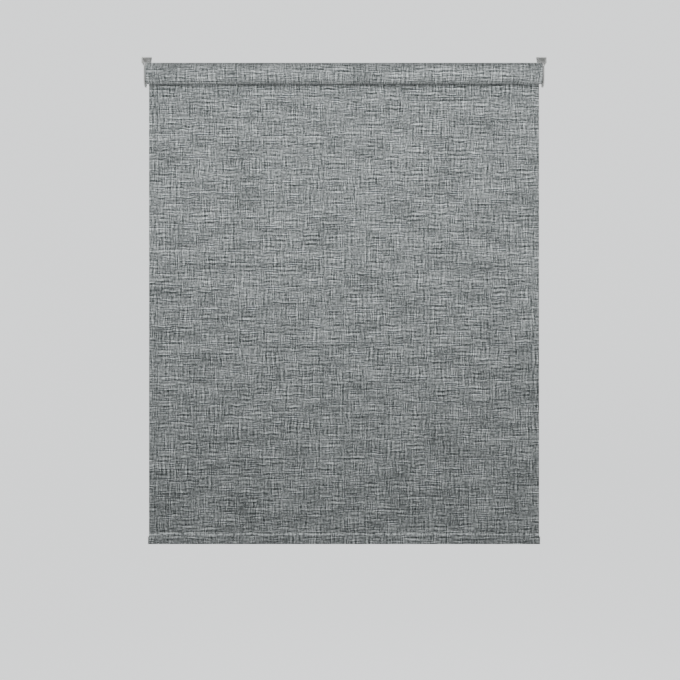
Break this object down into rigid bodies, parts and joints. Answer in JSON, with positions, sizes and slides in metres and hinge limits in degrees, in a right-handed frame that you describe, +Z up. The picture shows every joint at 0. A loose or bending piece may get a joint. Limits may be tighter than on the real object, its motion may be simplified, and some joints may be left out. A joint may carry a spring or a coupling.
{
  "type": "roller blind",
  "caption": "Cordless roller blind: grey linen cloth on a sprung tube between two pale joggled brackets, with a weighted hem; the hem lifts and the roller turns with it.",
  "frame": {"origin": "on the head plane that the brackets are screwed to, midway between them, directly above the roller's axis", "axes": "+Z up, out of the head plane; +X along the roller, to the right as seen from the room; -Y faces the room and +Y the window"},
  "size_m": [0.8, 0.048, 0.9705],
  "materials": {
    "bracket_paint": "satin pale grey powder coat",
    "linen": "heather grey slub weave",
    "aluminium": "mill finish",
    "bright_steel": "bright zinc",
    "spring_steel": "oiled",
    "grey_nylon": "moulded",
    "white_acetal": "moulded"
  },
  "bodies": {
    "root": {"left_bracket": "bracket_paint", "right_bracket": "bracket_paint", "pin_bush": "white_acetal", "blade_socket": "white_acetal", "motor_blade": "bright_steel", "motor_shaft": "bright_steel", "brake_hub": "bright_steel", "limit_screw": "white_acetal", "spring_anchor": "grey_nylon", "torsion_spring": "spring_steel", "shaft_clip": "spring_steel", "hanging_fabric": "linen"},
    "roller": {"roller_tube": "aluminium", "fabric_spline": "white_acetal", "rolled_fabric": "linen", "idle_end_plug": "grey_nylon", "idle_pin_retainer": "white_acetal", "idle_pin_spring": "spring_steel", "motor_end_cap": "grey_nylon", "motor_bush": "white_acetal", "brake_spring": "spring_steel", "spring_drive_plug": "grey_nylon", "drive_bush": "white_acetal"},
    "limit_nut": {"limit_nut": "grey_nylon"},
    "idle_pin": {"idle_pin": "bright_steel"},
    "hem": {"hem_pocket": "linen", "hem_bar": "aluminium", "hem_cap_left": "grey_nylon", "hem_cap_right": "grey_nylon"}
  },
  "joints": [
    {"name": "hem_lift", "type": "slide", "parent": "root", "child": "hem", "axis": [0, 0, 1], "range_m": [0, 0.88], "deforming": ["hanging_fabric"]},
    {"name": "roller_turn", "type": "hinge", "parent": "root", "child": "roller", "pos_m": [0, 0, -0.028], "axis": [1, 0, 0], "range_deg": [0, 2250], "deforming": ["torsion_spring"]},
    {"name": "limit_nut_travel", "type": "slide", "parent": "roller", "child": "limit_nut", "axis": [1, 0, 0], "range_m": [0, 0.0125]},
    {"name": "idle_pin_slide", "type": "slide", "parent": "roller", "child": "idle_pin", "axis": [1, 0, 0], "range_m": [0, 0.0045], "stiffness_N_per_m": 800, "springref_m": -0.004, "deforming": ["idle_pin_spring"]}
  ],
  "couplings": [
    {"joint": "roller_turn", "follows": "hem_lift", "rad_per_m": 44.6},
    {"joint": "limit_nut_travel", "follows": "hem_lift", "ratio": 0.0142}
  ]
}
